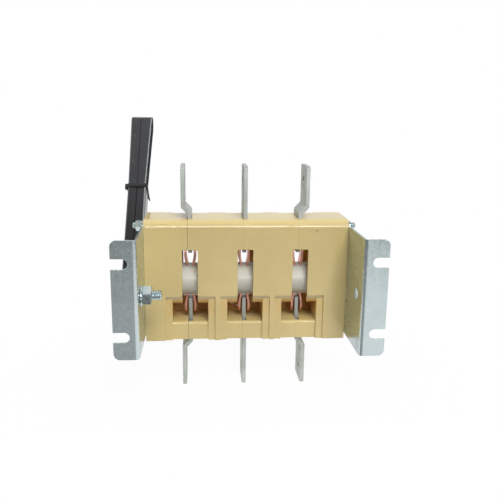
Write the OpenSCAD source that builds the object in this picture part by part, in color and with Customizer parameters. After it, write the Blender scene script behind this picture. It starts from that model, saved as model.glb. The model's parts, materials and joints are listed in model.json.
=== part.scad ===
// Three-pole rotary knife switch disconnector, seen in the ON position.
// Millimetres. The origin is the middle of the left flange's mounting face.
// Y = 0 is the mounting plane, +Y leads to the operator's side, +Z is up.

/* [Housing] */
// Distance between neighbouring poles
pole_pitch = 55; // [52:1:60]
// Distance from an outer pole's even place to the end of the housing
end_margin = 46; // [44:1:54]
// Offset of the three poles from their even places between the brackets
pole_offset = -1.25; // [-2:0.25:2]
// Height of the housing
body_h = 124; // [120:1:134]
// Depth of the housing
body_d = 50; // [48:1:58]
// Distance from the mounting plane to the back of the housing
stand_off = 64; // [56:1:90]
// Height of the housing's middle relative to the middle of the flanges
body_z = -0.5; // [-3:0.5:3]
// Drop of the shaft axis under the housing's middle
axis_drop = 3; // [0:0.5:5]
// Rounding of the long edges at the upper back and the lower front
long_edge_r = 8; // [4:0.5:8]
// Rounding of the other two long edges
short_edge_r = 1; // [0.5:0.5:3]

/* [Contact chambers] */
// Width of each chamber and of its window
chamber_w = 36; // [30:1:38]
// Height of each chamber
chamber_h = 81; // [81:1:86]
// Thickness of the walls in front of and behind the chamber
chamber_wall = 5; // [4:0.5:6]
// Rounding between the closed wall of a chamber and its floor or ceiling
chamber_r = 3; // [1:0.5:4]
// Width of the slot that a pair of blades swings through
blade_slot_w = 15.5; // [14:0.5:20]
// Height of the closed end of the blade slot over the shaft axis
blade_slot_top = 35.5; // [28:0.5:37]
// Rounding of the closed end of the blade slot
blade_slot_r = 1.5; // [0.5:0.5:3]
// Depth of the upper edge of the window under the shaft axis
window_top = 20; // [18:0.5:24]
// Rounding of the window's sill
sill_r = 2.5; // [1:0.5:4]
// Width of the shallow recess round each window
recess_w = 50; // [44:1:51]
// Depth of that shallow recess
recess_depth = 2.3; // [1:0.1:3]
// Height of the slope over each recess
recess_slope_h = 8; // [5:0.5:10]

/* [Brackets] */
// Thickness of the bracket sheet
sheet_t = 2; // [1.5:0.1:3]
// Outside radius of the bend
bend_r = 3.5; // [3:0.1:5]
// Height of the flanges and plates
flange_h = 111; // [106:1:116]
// Width of each flange
flange_w = 23.5; // [20:0.5:30]
// Rounding of the flange corners
flange_corner_r = 6; // [2:0.5:8]
// Distance between the upper and lower mounting slots
slot_spacing = 68; // [60:1:80]
// Width of the mounting slots
slot_w = 9.5; // [7:0.1:11]
// Length of the mounting slots from the flange edge
slot_length = 15; // [10:0.5:17]

/* [Terminals] */
// Thickness of the terminal strip
terminal_t = 4; // [3:0.5:5]
// Width of the terminal strip
terminal_w = 34; // [28:1:34]
// Reach of the terminals beyond the housing
terminal_reach = 52; // [46:1:70]
// Sideways offset of the outer terminals
terminal_jog = 6.5; // [4:0.5:9]
// Height of the sloping piece of the outer terminals
jog_rise = 7; // [4:0.5:9]
// Start of the slope over the housing on the upper terminals
upper_jog_start = 5; // [1:0.5:10]
// Start of the slope under the housing on the lower terminals
lower_jog_start = 3; // [1:0.5:10]
// Diameter of the terminal holes
terminal_hole_d = 13; // [9:0.5:14]
// Distance from a terminal hole to the end of the strip
terminal_hole_edge = 17; // [12:0.5:20]
// Rounding of the terminal corners
terminal_corner_r = 3; // [1:0.5:5]
// Width of the knife contact inside the chamber
knife_w = 14; // [12:0.5:17]
// Distance from the shaft axis to the end of an upper knife contact
upper_knife_end = 28.5; // [20:0.5:30]
// Distance from the shaft axis to the end of a lower knife contact
lower_knife_end = 19.5; // [19.5:0.5:28]
// Depth of the strip's shoulders under the chamber floor
shoulder_depth = 6; // [2:0.5:8]

/* [Rotor] */
// Diameter of the insulating shaft
shaft_d = 33; // [28:0.5:34]
// Distance from the end of the housing to the end of the shaft
shaft_end_gap = 11; // [8:1:16]
// Length of a contact blade
blade_length = 71; // [66:1:71]
// Width of a contact blade
blade_w = 14; // [10:0.5:15]
// Thickness of a contact blade
blade_t = 2.5; // [1.5:0.1:2.6]
// Gap between a pair of blades inside the shaft
blade_root_gap = 4; // [3.5:0.1:4.5]
// Widest gap between a pair of blades
blade_belly_gap = 7.2; // [7:0.1:7.6]
// Distance from the shaft axis to the widest gap
blade_belly_place = 27; // [24:1:30]
// Gap between a pair of blades at their tips
blade_tip_gap = 6.6; // [6.2:0.1:7]
// Diameter of the steel spindle
spindle_d = 16; // [14:0.5:20]
// Depth of the spindle's seat in the shaft
spindle_seat = 15; // [8:1:25]
// Side of the spindle's square end
spindle_square = 11; // [9:0.5:11]

/* [Handle] */
// Lean of the handle from upright when switched on
handle_lean = 45; // [40:1:45]
// Reach of the handle from the shaft axis
handle_reach = 221; // [180:1:260]
// Width of the grip in its plane of swing
grip_w = 22; // [18:1:24]
// Thickness of the grip at the shaft
grip_t = 19.2; // [16:0.4:24]
// Growth of the inner grip half's thickness to its free end
inner_flare = 3.4; // [0:0.2:5]
// Growth of the outer grip half's thickness to its free end
outer_flare = 2; // [0:0.2:5]
// Distance from the shaft axis at which the grip starts to widen
grip_taper_start = 115; // [115:1:140]
// Width of the groove between the grip halves
grip_groove = 2; // [1:0.2:3]
// Thickness of the steel lever
lever_t = 3; // [3:0.5:4]
// Width of the steel lever
lever_w = 20; // [18:1:22]
// Reach of the steel lever from the shaft axis
lever_reach = 114; // [80:1:140]
// Depth of the lever's seat in the inner grip half
lever_seat = 2; // [1:0.5:2.5]
// Gap between the lever and the left bracket
lever_gap = 2; // [1.5:0.5:4]
// Distance from the shaft axis to the middle of the cable tie
tie_place = 112; // [90:1:112]
// Width of the cable tie
tie_w = 4.6; // [2.5:0.1:5]
// Thickness of the cable tie
tie_t = 1.3; // [1:0.1:2]
// Thickness of the cable tie's head
tie_head_t = 3.5; // [2:0.5:5]
// Length of the cable tie's head
tie_head_l = 7; // [5:0.5:8]

/* [Fasteners] */
// Diameter of the tie rods
rod_d = 6; // [5:0.5:6]
// Distance from the housing's back or front face to the tie rods, and half the width of their ears
rod_inset = 4.2; // [4.2:0.1:4.4]
// Distance from the housing's top or bottom to the tie rods
rod_drop = 5.5; // [5.5:0.5:8]
// Width across flats of the tie rod nuts
rod_nut_af = 10; // [8:0.5:10]
// Height of the tie rod nuts
rod_nut_h = 5; // [4:0.5:6]
// Length of rod that stands out of the nuts
rod_end = 3; // [1:0.5:4]
// Length of rod that stands out of the right bracket
rod_tail = 5; // [2:0.5:6]
// Diameter of the earth bolt
earth_d = 10; // [8:1:10]
// Distance from the mounting plane to the earth bolt
earth_y = 22; // [18:1:30]
// Height of the earth bolt relative to the middle of the flanges
earth_z = -1; // [-4:0.5:4]
// Width across flats of the earth bolt's nut and head
earth_nut_af = 17; // [13:1:18]
// Height of the earth bolt's nut
earth_nut_h = 8.5; // [6:0.5:10]
// Height of the earth bolt's head
earth_head_h = 6.5; // [5:0.5:8]
// Diameter of the earth washer
earth_washer_d = 20; // [18:0.5:24]
// Thickness of the earth washer
earth_washer_t = 2; // [1.5:0.5:2.5]
// Length of thread that stands out of the earth nut
earth_end = 9; // [3:0.5:12]

/* [Hidden] */
$fn = 64;

LEFT = 0;
MIDDLE = 1;
RIGHT = 2;

moulding_colour = [0.81, 0.74, 0.52];
zinc_colour = [0.68, 0.72, 0.74];
tin_colour = [0.70, 0.71, 0.68];
copper_colour = [0.80, 0.53, 0.45];
shaft_colour = [0.80, 0.79, 0.74];
grip_colour = [0.20, 0.20, 0.21];

// Cutting tools reach this far past the faces that they open
over = 1;
// Clearance round parts that are seated in the mouldings
seat_gap = 0.2;
// Clearance between the shaft and its bearings in the mouldings
bearing_gap = 0.1;
// Clearance round the spindle where it passes the housing's end and the bracket
spindle_gap = 0.5;
// Clearance between parts that are fixed together on the rotor
rotor_gap = 0.05;

body_front = stand_off + body_d;
axis_y = stand_off + body_d / 2;
axis_z = body_z - axis_drop;
poles_x = [for (step = [-1, 0, 1]) pole_offset + step * pole_pitch];
body_half_w = pole_pitch + end_margin;
middle_x = body_half_w + flange_w / 2;
plate_outer = body_half_w + sheet_t;

// Each seam lies on the left face of the terminals of its pole
seams_x = [for (x = poles_x) x - terminal_t / 2 - seat_gap];
moulding_ends = [-body_half_w, seams_x[0], seams_x[1], seams_x[2], body_half_w];

// Rods lie in the upper back and the lower front corners, at half a turn from each other
rod_y = body_d / 2 - rod_inset;
rod_z = body_h / 2 - rod_drop;

shaft_half_l = body_half_w - shaft_end_gap;
lever_inner = plate_outer + lever_gap;
grip_inner = lever_inner + lever_t - lever_seat;
grip_split = grip_inner + grip_t / 2;

// Moves children that are drawn from the mounting plane, half-way between the brackets, to their place
module at_middle() {
  translate([middle_x, 0, 0]) children();
}

// Moves children that are drawn about the middle of the housing to their place
module at_body() {
  at_middle() translate([0, axis_y, body_z]) children();
}

// Moves children that are drawn about the shaft axis between the brackets to their place
module at_axis() {
  at_middle() translate([0, axis_y, axis_z]) children();
}

// Extrudes a (Y, Z) outline from x0 to x1
module along_x(x0, x1) {
  translate([x0, 0, 0]) rotate([90, 0, 90]) linear_extrude(x1 - x0) children();
}

// Extrudes an (X, Z) outline from y0 to y1
module along_y(y0, y1) {
  translate([0, y1, 0]) rotate([90, 0, 0]) linear_extrude(y1 - y0) children();
}

// Cylinder on the line (y, z) from x0 to x1
module rod_x(x0, x1, d, y = 0, z = 0) {
  translate([x0, y, z]) rotate([0, 90, 0]) cylinder(h = x1 - x0, d = d);
}

// Hexagon prism on the line (y, z) from x0 to x1, with flats at the top and the bottom
module hex_x(x0, x1, across_flats, y = 0, z = 0) {
  along_x(x0, x1) translate([y, z]) circle(d = across_flats / cos(30), $fn = 6);
}

// Piece between a square corner at the origin and its rounding, for a corner with +X and -Y inside
module corner_waste(r) {
  difference() {
    translate([-over, -r]) square([r + over, r + over]);
    translate([r, -r]) circle(r);
  }
}

// Rectangle with its four corners rounded
module rounded_rect(w, h, r) {
  difference() {
    square([w, h], center = true);
    for (side = [0, 1], end = [0, 1])
      mirror([side, 0]) mirror([0, end]) translate([-w / 2, h / 2]) corner_waste(r);
  }
}

// Bar from the origin upward to the given reach, with round ends
module round_bar(w, reach) {
  translate([-w / 2, 0]) square([w, reach - w / 2]);
  circle(d = w);
  translate([0, reach - w / 2]) circle(d = w);
}

// Housing

module body_outline() {
  difference() {
    square([body_d, body_h], center = true);
    for (turn = [0, 180]) rotate(turn) {
      translate([-body_d / 2, body_h / 2]) corner_waste(long_edge_r);
      mirror([1, 0]) translate([-body_d / 2, body_h / 2]) corner_waste(short_edge_r);
    }
  }
}

// Shallow recess round a window: a slope at its top, open at the bottom
module recess_outline(depth) {
  run = chamber_wall;
  top = -window_top + recess_slope_h;
  fall = recess_slope_h * depth / run;
  polygon([
    [-body_d / 2 - over, top + recess_slope_h * over / run],
    [-body_d / 2 + depth, top - fall],
    [-body_d / 2 + depth, -body_h],
    [-body_d / 2 - over, -body_h]
  ]);
}

module blade_slot_outline() {
  difference() {
    translate([-blade_slot_w / 2, -window_top - over])
      square([blade_slot_w, window_top + over + blade_slot_top]);
    for (side = [0, 1])
      mirror([side, 0]) translate([-blade_slot_w / 2, blade_slot_top]) corner_waste(blade_slot_r);
  }
}

// Openings of one pole in the back of the housing
module back_openings() {
  wall_inside = -body_d / 2 + chamber_wall;
  along_x(-recess_w / 2, recess_w / 2) recess_outline(recess_depth);
  along_x(-chamber_w / 2, chamber_w / 2) {
    recess_outline(chamber_wall);
    translate([wall_inside - over, -chamber_h / 2]) square([2 * over, chamber_h / 2 - window_top]);
    translate([wall_inside, -chamber_h / 2]) corner_waste(sill_r);
  }
  along_y(-body_d / 2 - over, wall_inside + over) blade_slot_outline();
}

// Side view of a chamber, rounded where its closed walls meet the floor and the ceiling
module chamber_outline() {
  chamber_d = body_d - 2 * chamber_wall;
  difference() {
    square([chamber_d, chamber_h], center = true);
    for (turn = [0, 180]) rotate(turn) translate([-chamber_d / 2, chamber_h / 2]) corner_waste(chamber_r);
  }
}

// Everything that is hollow round one pole, the front openings being the back ones half a turn on
module pole_cuts() {
  seat_w = terminal_t + 2 * seat_gap;
  seat_d = terminal_w + 2 * seat_gap;
  along_x(-chamber_w / 2, chamber_w / 2) chamber_outline();
  for (turn = [0, 180]) rotate([turn, 0, 0]) {
    back_openings();
    translate([-seat_w / 2, -seat_d / 2, chamber_h / 2 - over]) cube([seat_w, seat_d, body_h]);
  }
}

module moulding(index) {
  color(moulding_colour) difference() {
    at_body() along_x(moulding_ends[index], moulding_ends[index + 1]) body_outline();
    at_axis() {
      for (x = poles_x) translate([x, 0, 0]) pole_cuts();
      rod_x(-shaft_half_l - bearing_gap, shaft_half_l + bearing_gap, shaft_d + 2 * bearing_gap);
      rod_x(-body_half_w - over, 0, spindle_d + 2 * spindle_gap);
    }
    at_body() for (turn = [0, 180]) rotate([turn, 0, 0])
      rod_x(-body_half_w - over, body_half_w + over, rod_d + 2 * seat_gap, -rod_y, rod_z);
  }
}

// Brackets

// Cross-section of the angle, flange to the left
module angle_outline() {
  difference() {
    union() {
      translate([-body_half_w - flange_w, 0]) square([flange_w, sheet_t]);
      translate([-plate_outer, 0]) square([sheet_t, body_front]);
      translate([-body_half_w - bend_r, 0]) square(bend_r);
    }
    mirror([1, 0]) translate([body_half_w, 0]) mirror([0, 1]) corner_waste(bend_r);
    translate([-body_half_w - bend_r, bend_r]) circle(bend_r - sheet_t);
  }
}

// Outline of the plate in the (Y, Z) plane, with an ear for each tie rod
module plate_outline() {
  translate([-over, -flange_h / 2]) square([body_front + over, flange_h]);
  translate([axis_y, body_z]) for (turn = [0, 180]) rotate(turn) translate([-rod_y, rod_z]) {
    circle(rod_inset);
    translate([-rod_inset, -rod_z / 2]) square([2 * rod_inset, rod_z / 2]);
  }
}

// Outline of the flange in the (X, Z) plane, with its open mounting slots
module flange_outline() {
  edge = -body_half_w - flange_w;
  difference() {
    translate([edge, -flange_h / 2]) square([flange_w + over, flange_h]);
    for (end = [0, 1]) mirror([0, end]) {
      translate([edge, flange_h / 2]) corner_waste(flange_corner_r);
      translate([edge - over, slot_spacing / 2 - slot_w / 2])
        square([slot_length - slot_w / 2 + over, slot_w]);
      translate([edge + slot_length - slot_w / 2, slot_spacing / 2]) circle(d = slot_w);
    }
  }
}

module left_hand_bracket(with_spindle_hole) {
  edge = -body_half_w - flange_w;
  sheet_h = 2 * body_h;
  difference() {
    intersection() {
      translate([0, 0, -sheet_h / 2]) linear_extrude(sheet_h) angle_outline();
      union() {
        along_x(-body_half_w - bend_r, -body_half_w + over) plate_outline();
        along_y(-over, bend_r) flange_outline();
      }
    }
    translate([0, axis_y, body_z]) for (turn = [0, 180]) rotate([turn, 0, 0])
      rod_x(edge, edge + flange_w + over, rod_d + 2 * seat_gap, -rod_y, rod_z);
    rod_x(edge, edge + flange_w + over, earth_d + 2 * seat_gap, earth_y, earth_z);
    if (with_spindle_hole)
      rod_x(edge, edge + flange_w + over, spindle_d + 2 * spindle_gap, axis_y, axis_z);
  }
}

module left_bracket() {
  color(zinc_colour) at_middle() left_hand_bracket(true);
}

// The right bracket is the left one mirrored, without the hole for the spindle
module right_bracket() {
  color(zinc_colour) at_middle() mirror([1, 0, 0]) left_hand_bracket(false);
}

// Terminals

// Cross-section of a strip that steps sideways by jog between two heights
module strip_outline(jog, z_low, z_jog, z_high) {
  half = terminal_t / 2;
  mitre = half * tan(atan2(jog, jog_rise) / 2);
  polygon([
    [-half, z_low], [half, z_low],
    [half, z_jog - mitre], [jog + half, z_jog + jog_rise - mitre],
    [jog + half, z_high], [jog - half, z_high],
    [jog - half, z_jog + jog_rise + mitre], [-half, z_jog + mitre]
  ]);
}

// Side view of a terminal: the wide strip outside and the knife inside the chamber
module terminal_outline(knife_end, z_high) {
  shoulder = chamber_h / 2 + shoulder_depth;
  translate([0, (shoulder + z_high) / 2]) rounded_rect(terminal_w, z_high - shoulder, terminal_corner_r);
  translate([-knife_w / 2, knife_end]) square([knife_w, shoulder + terminal_corner_r - knife_end]);
}

// Terminal drawn upward from the shaft axis through a housing that ends at body_end
module upright_terminal(pole, body_end, jog_start, knife_end) {
  jog = (pole - MIDDLE) * terminal_jog;
  z_high = body_end + terminal_reach;
  translate([poles_x[pole], 0, 0]) difference() {
    intersection() {
      along_y(-terminal_w, terminal_w) strip_outline(jog, 0, body_end + jog_start, z_high);
      along_x(-terminal_w, terminal_w) terminal_outline(knife_end, z_high);
    }
    rod_x(-terminal_w, terminal_w, terminal_hole_d, 0, z_high - terminal_hole_edge);
  }
}

module upper_terminal(pole) {
  color(tin_colour) at_axis()
    upright_terminal(pole, body_h / 2 + axis_drop, upper_jog_start, upper_knife_end);
}

module lower_terminal(pole) {
  color(tin_colour) at_axis() rotate([180, 0, 0])
    upright_terminal(pole, body_h / 2 - axis_drop, lower_jog_start, lower_knife_end);
}

// Tie rods and the earth bolt

// The nut is on the left; the right end is plain
module tie_rod(upper) {
  nut_end = -plate_outer - rod_nut_h;
  color(zinc_colour) at_body() rotate([upper ? 0 : 180, 0, 0])
    rod_x(nut_end - rod_end, plate_outer + rod_tail, rod_d, -rod_y, rod_z);
}

module rod_nut(upper) {
  nut_end = -plate_outer - rod_nut_h;
  color(zinc_colour) at_body() rotate([upper ? 0 : 180, 0, 0]) difference() {
    hex_x(nut_end, -plate_outer, rod_nut_af, -rod_y, rod_z);
    rod_x(nut_end - over, -plate_outer + over, rod_d + 2 * rotor_gap, -rod_y, rod_z);
  }
}

// The free end of the thread is a little slimmer than the shank in the nut
module earth_bolt() {
  nut_end = -body_half_w + earth_washer_t + earth_nut_h;
  color(zinc_colour) at_middle() {
    rod_x(-plate_outer - over, nut_end, earth_d, earth_y, earth_z);
    rod_x(nut_end - over, nut_end + earth_end, earth_d - 2 * seat_gap, earth_y, earth_z);
    hex_x(-plate_outer - earth_head_h, -plate_outer, earth_nut_af, earth_y, earth_z);
  }
}

module earth_washer() {
  color(zinc_colour) at_middle() difference() {
    rod_x(-body_half_w, -body_half_w + earth_washer_t, earth_washer_d, earth_y, earth_z);
    rod_x(-plate_outer, -body_half_w + earth_washer_t + over, earth_d + 2 * seat_gap, earth_y, earth_z);
  }
}

module earth_nut() {
  start = -body_half_w + earth_washer_t;
  color(zinc_colour) at_middle() difference() {
    hex_x(start, start + earth_nut_h, earth_nut_af, earth_y, earth_z);
    rod_x(start - over, start + earth_nut_h + over, earth_d + 2 * rotor_gap, earth_y, earth_z);
  }
}

// Rotor

// Half the gap between a pair of blades at a distance from the shaft axis: it swells beyond the shaft
// to its widest place and closes a little towards the tips
function half_gap(distance) =
  let (root = blade_root_gap / 2, belly = blade_belly_gap / 2, tip = blade_tip_gap / 2, skin = shaft_d / 2)
  let (swell = (distance - skin) / (blade_belly_place - skin))
  let (close = (distance - blade_belly_place) / (blade_length / 2 - blade_belly_place))
  distance < skin ? root
    : distance < blade_belly_place ? root + (belly - root) * sin(90 * swell)
    : belly + (tip - belly) * (1 - cos(180 * close)) / 2;

// Cross-section of one blade of a pair
module blade_outline() {
  steps = 44;
  places = [for (i = [0:steps]) blade_length * (i / steps - 0.5)];
  inner = [for (z = places) [half_gap(abs(z)), z]];
  outer = [for (i = [steps:-1:0]) inner[i] + [blade_t, 0]];
  polygon(concat(inner, outer));
}

module blade(pole, left) {
  color(copper_colour) at_axis() translate([poles_x[pole], 0, 0]) mirror([left ? 1 : 0, 0, 0])
    intersection() {
      along_y(-blade_w / 2, blade_w / 2) blade_outline();
      along_x(0, blade_slot_w) for (turn = [0, 180]) rotate(turn) round_bar(blade_w, blade_length / 2);
    }
}

// The shaft has a slot for each blade, and stays solid between the two of a pair
module shaft() {
  slot_x = (blade_root_gap + blade_t) / 2;
  color(shaft_colour) at_axis() difference() {
    rod_x(-shaft_half_l, shaft_half_l, shaft_d);
    for (x = poles_x, side = [-1, 1]) translate([x + side * slot_x, 0, 0])
      cube([blade_t + 2 * rotor_gap, blade_w + 2 * rotor_gap, 2 * shaft_d], center = true);
    rod_x(-shaft_half_l - over, -shaft_half_l + spindle_seat, spindle_d + 2 * rotor_gap);
  }
}

module spindle() {
  square_start = -lever_inner;
  color(zinc_colour) at_axis() {
    rod_x(square_start, -shaft_half_l + spindle_seat, spindle_d);
    along_x(square_start - lever_t, square_start) rotate(-handle_lean) square(spindle_square, center = true);
  }
}

// Handle

// Turns an outline drawn upward from the shaft axis into the handle's place
module with_handle(x0, x1) {
  at_axis() along_x(x0, x1) rotate(-handle_lean) children();
}

module lever() {
  lever_outer = lever_inner + lever_t;
  hole_w = spindle_square + 2 * rotor_gap;
  color(zinc_colour) difference() {
    with_handle(-lever_outer, -lever_inner) round_bar(lever_w, lever_reach);
    with_handle(-lever_outer - over, -lever_inner + over) square(hole_w, center = true);
  }
}

// Section of a grip half along the handle, from the split to the side, which flares to the free end
module grip_half_outline(flare) {
  half = grip_t / 2;
  polygon([
    [0, -grip_w], [half, -grip_w], [half, grip_taper_start],
    [half + flare, handle_reach], [0, handle_reach]
  ]);
}

// Half of the grip, with its share of the groove that runs along the split
module grip_half(outer) {
  color(grip_colour) at_axis() rotate([-handle_lean, 0, 0]) difference() {
    intersection() {
      translate([-grip_split, 0, 0]) mirror([outer ? 1 : 0, 0, 0])
        along_y(-grip_w, grip_w) grip_half_outline(outer ? outer_flare : inner_flare);
      along_x(-2 * grip_split, 0) round_bar(grip_w, handle_reach);
    }
    for (side = [-1, 1]) translate([-grip_split, side * grip_w / 2, 0]) rotate(45)
      cube([grip_groove / sqrt(2), grip_groove / sqrt(2), 2 * handle_reach], center = true);
  }
}

module outer_grip_half() {
  grip_half(true);
}

// The inner half takes the lever in a seat
module inner_grip_half() {
  seat_w = lever_w + 2 * rotor_gap;
  difference() {
    grip_half(false);
    with_handle(-grip_inner - lever_seat - rotor_gap, 0) round_bar(seat_w, lever_reach + rotor_gap);
  }
}

// Loop of the cable tie round the grip and the lever, with its head on the outer side
module cable_tie() {
  outside = grip_inner + grip_t + rotor_gap;
  inside = lever_inner - rotor_gap;
  loop_w = grip_w + 2 * rotor_gap;
  color(grip_colour) at_axis() rotate([-handle_lean, 0, 0]) translate([0, 0, tie_place]) {
    translate([-(outside + inside) / 2, 0, 0]) difference() {
      cube([outside - inside + 2 * tie_t, loop_w + 2 * tie_t, tie_w], center = true);
      cube([outside - inside, loop_w, tie_w + 2 * over], center = true);
    }
    translate([-outside - tie_head_t / 2, tie_head_l / 2 - grip_w / 2, 0])
      cube([tie_head_t, tie_head_l, tie_w + 2 * tie_t], center = true);
  }
}

left_bracket();
right_bracket();
moulding(0);  // left_end_moulding
moulding(1);  // left_middle_moulding
moulding(2);  // right_middle_moulding
moulding(3);  // right_end_moulding
upper_terminal(LEFT);  // upper_left_terminal
upper_terminal(MIDDLE);  // upper_middle_terminal
upper_terminal(RIGHT);  // upper_right_terminal
lower_terminal(LEFT);  // lower_left_terminal
lower_terminal(MIDDLE);  // lower_middle_terminal
lower_terminal(RIGHT);  // lower_right_terminal
tie_rod(true);  // upper_tie_rod
tie_rod(false);  // lower_tie_rod
rod_nut(true);  // upper_left_rod_nut
rod_nut(false);  // lower_left_rod_nut
earth_bolt();
earth_washer();
earth_nut();
shaft();
spindle();
blade(LEFT, true);  // left_pole_left_blade
blade(LEFT, false);  // left_pole_right_blade
blade(MIDDLE, true);  // middle_pole_left_blade
blade(MIDDLE, false);  // middle_pole_right_blade
blade(RIGHT, true);  // right_pole_left_blade
blade(RIGHT, false);  // right_pole_right_blade
lever();
inner_grip_half();
outer_grip_half();
cable_tie();
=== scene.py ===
"""Looks of a three-pole switch disconnector.

Finishes, eased edges, threads, nuts, cable tie, stage and camera.
"""

import json
import math

import bmesh
import bpy
import numpy as np
from bpy.props import FloatProperty, FloatVectorProperty, PointerProperty
from mathutils import Matrix, Vector


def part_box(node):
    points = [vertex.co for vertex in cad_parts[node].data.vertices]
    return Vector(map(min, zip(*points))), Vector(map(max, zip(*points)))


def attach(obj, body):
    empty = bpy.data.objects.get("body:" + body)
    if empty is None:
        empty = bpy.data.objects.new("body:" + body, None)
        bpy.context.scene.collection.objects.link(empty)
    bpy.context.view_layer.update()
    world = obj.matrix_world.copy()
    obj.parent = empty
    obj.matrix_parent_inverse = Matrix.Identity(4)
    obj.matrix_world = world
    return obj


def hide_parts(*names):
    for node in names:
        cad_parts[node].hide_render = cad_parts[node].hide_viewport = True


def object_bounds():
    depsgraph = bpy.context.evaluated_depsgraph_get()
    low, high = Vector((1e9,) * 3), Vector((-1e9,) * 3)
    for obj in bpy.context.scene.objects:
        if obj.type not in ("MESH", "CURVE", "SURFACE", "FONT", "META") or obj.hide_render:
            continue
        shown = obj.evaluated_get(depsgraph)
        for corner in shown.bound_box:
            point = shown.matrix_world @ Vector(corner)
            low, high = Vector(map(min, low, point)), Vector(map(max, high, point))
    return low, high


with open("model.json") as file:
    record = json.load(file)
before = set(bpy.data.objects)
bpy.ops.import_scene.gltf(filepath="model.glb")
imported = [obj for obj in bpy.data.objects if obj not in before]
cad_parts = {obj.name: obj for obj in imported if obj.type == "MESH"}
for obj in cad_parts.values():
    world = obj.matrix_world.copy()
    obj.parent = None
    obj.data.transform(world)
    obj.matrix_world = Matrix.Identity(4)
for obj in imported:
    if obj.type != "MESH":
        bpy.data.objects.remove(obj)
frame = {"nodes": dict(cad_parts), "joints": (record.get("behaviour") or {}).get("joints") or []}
CAD_BOX = [list(corner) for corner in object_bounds()]

bl_info = {
    "name": "Switch disconnector looks",
    "version": (1, 0, 0),
    "blender": (4, 5, 0),
    "location": "3D View > Sidebar > Switch",
    "description": "Finishes and fine forms of a three-pole switch disconnector",
    "category": "Object",
}

NODES = frame["nodes"]
FRAME_BODY = "frame"
ROTOR_BODY = "rotor"
PIVOT = Vector(frame["joints"][0]["pos_m"])
MM = 0.001
TURN = 2 * math.pi
WHITE = (1.0, 1.0, 1.0, 1.0)

# Gaps over which points are joined: in any mesh, and first between a solid's loose triangles
POINT_GAP = 1e-7
MERGE_GAP = 1e-6

# Faces within this angle of each other are one flat, and a face of this area is a large one
FLAT_DEG = 0.5
LARGE_FACE = 100 * MM * MM

# Angle over which the edges of nuts and bolt heads stay sharp
NUT_SHARP_DEG = 24.0

# Lamps: place and size in metres, and the point that they look at
KEY_PLACE, KEY_SIZE = (0.28, -0.89, 1.02), 0.6
TOP_PLACE, TOP_SIZE = (0.16, -0.23, 1.16), 0.8
LAMP_TARGET = (0.11, 0.08, 0.0)
STRIP_PLACE, STRIP_TARGET = (0.70, -1.15, 0.39), (0.70, 0.08, 0.0)
STRIP_WIDTH, STRIP_HEIGHT = 1.6, 0.09

# Camera fitted to the photograph: metres, degrees, and pixels of the photograph's frame
CAMERA_PLACE = (0.06905, -0.53115, 0.16886)
CAMERA_YAW, CAMERA_PITCH, CAMERA_ROLL = 4.50, 13.39, 0.71
PHOTO_SIDE = 500
FOCAL_PIXELS = 619.84
SHIFT_X_PIXELS, SHIFT_Y_PIXELS = -0.06, 5.02
SENSOR_MM = 36.0

POLES = ("left", "middle", "right")
MOULDINGS = ("left_end_moulding", "left_middle_moulding", "right_middle_moulding", "right_end_moulding")
BRACKETS = ("left_bracket", "right_bracket")
TERMINALS = tuple(f"{row}_{pole}_terminal" for row in ("upper", "lower") for pole in POLES)
BLADES = tuple(f"{pole}_pole_{side}_blade" for pole in POLES for side in ("left", "right"))
RODS = ("upper_tie_rod", "lower_tie_rod")
ROD_NUTS = ("upper_left_rod_nut", "lower_left_rod_nut")
GRIP_HALVES = ("inner_grip_half", "outer_grip_half")


# Shader arithmetic


class Signal:
    """A socket in a node tree. Operators add Math nodes, and node() adds any other node."""

    def __init__(self, tree, socket=None):
        self.tree = tree
        self.socket = socket

    def node(self, kind, settings, sockets, output=0):
        """Adds a node of that type, applies its settings, then fills or links its sockets."""
        added = self.tree.nodes.new(kind)
        for key, value in settings.items():
            setattr(added, key, value)
        for key, value in sockets.items():
            if isinstance(value, Signal):
                self.tree.links.new(value.socket, added.inputs[key])
            else:
                added.inputs[key].default_value = value
        return Signal(self.tree, added.outputs[output] if added.outputs else None)

    def twin(self, output):
        """Another output of the node that this socket belongs to."""
        return Signal(self.tree, self.socket.node.outputs[output])

    def math(self, operation, *terms):
        """Adds a Math node over this socket and the given terms."""
        return self.node("ShaderNodeMath", {"operation": operation}, dict(enumerate((self, *terms))))

    def __add__(self, other):
        return self.math("ADD", other)

    def __radd__(self, other):
        return self.math("ADD", other)

    def __sub__(self, other):
        return self.math("SUBTRACT", other)

    def __rsub__(self, other):
        return self.node("ShaderNodeMath", {"operation": "SUBTRACT"}, {0: other, 1: self})

    def __mul__(self, other):
        return self.math("MULTIPLY", other)

    def __rmul__(self, other):
        return self.math("MULTIPLY", other)

    def __or__(self, other):
        return self.math("MAXIMUM", other)

    def __abs__(self):
        return self.math("ABSOLUTE")

    def step(self, low, high):
        """Smooth step from 0 at low to 1 at high."""
        return self.node("ShaderNodeMapRange", {"interpolation_type": "SMOOTHSTEP"},
                         {"Value": self, "From Min": low, "From Max": high})

    def tint(self, first, second):
        """Mixes two colours, this socket being the share of the second."""
        share, colour_a, colour_b, result = 0, 6, 7, 2
        sockets = {share: self, colour_a: first, colour_b: second}
        return self.node("ShaderNodeMix", {"data_type": "RGBA"}, sockets, result)

    def blend(self, first, second):
        """Mixes two shaders, this socket being the share of the second."""
        return self.node("ShaderNodeMixShader", {}, {0: self, 1: first, 2: second})

    def axes(self):
        """The three components of a vector socket."""
        x = self.node("ShaderNodeSeparateXYZ", {}, {"Vector": self}, "X")
        return x, x.twin("Y"), x.twin("Z")

    def rays(self):
        """Light Path's camera, glossy and transmission rays."""
        camera = self.node("ShaderNodeLightPath", {}, {}, "Is Camera Ray")
        return camera, camera.twin("Is Glossy Ray"), camera.twin("Is Transmission Ray")


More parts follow.
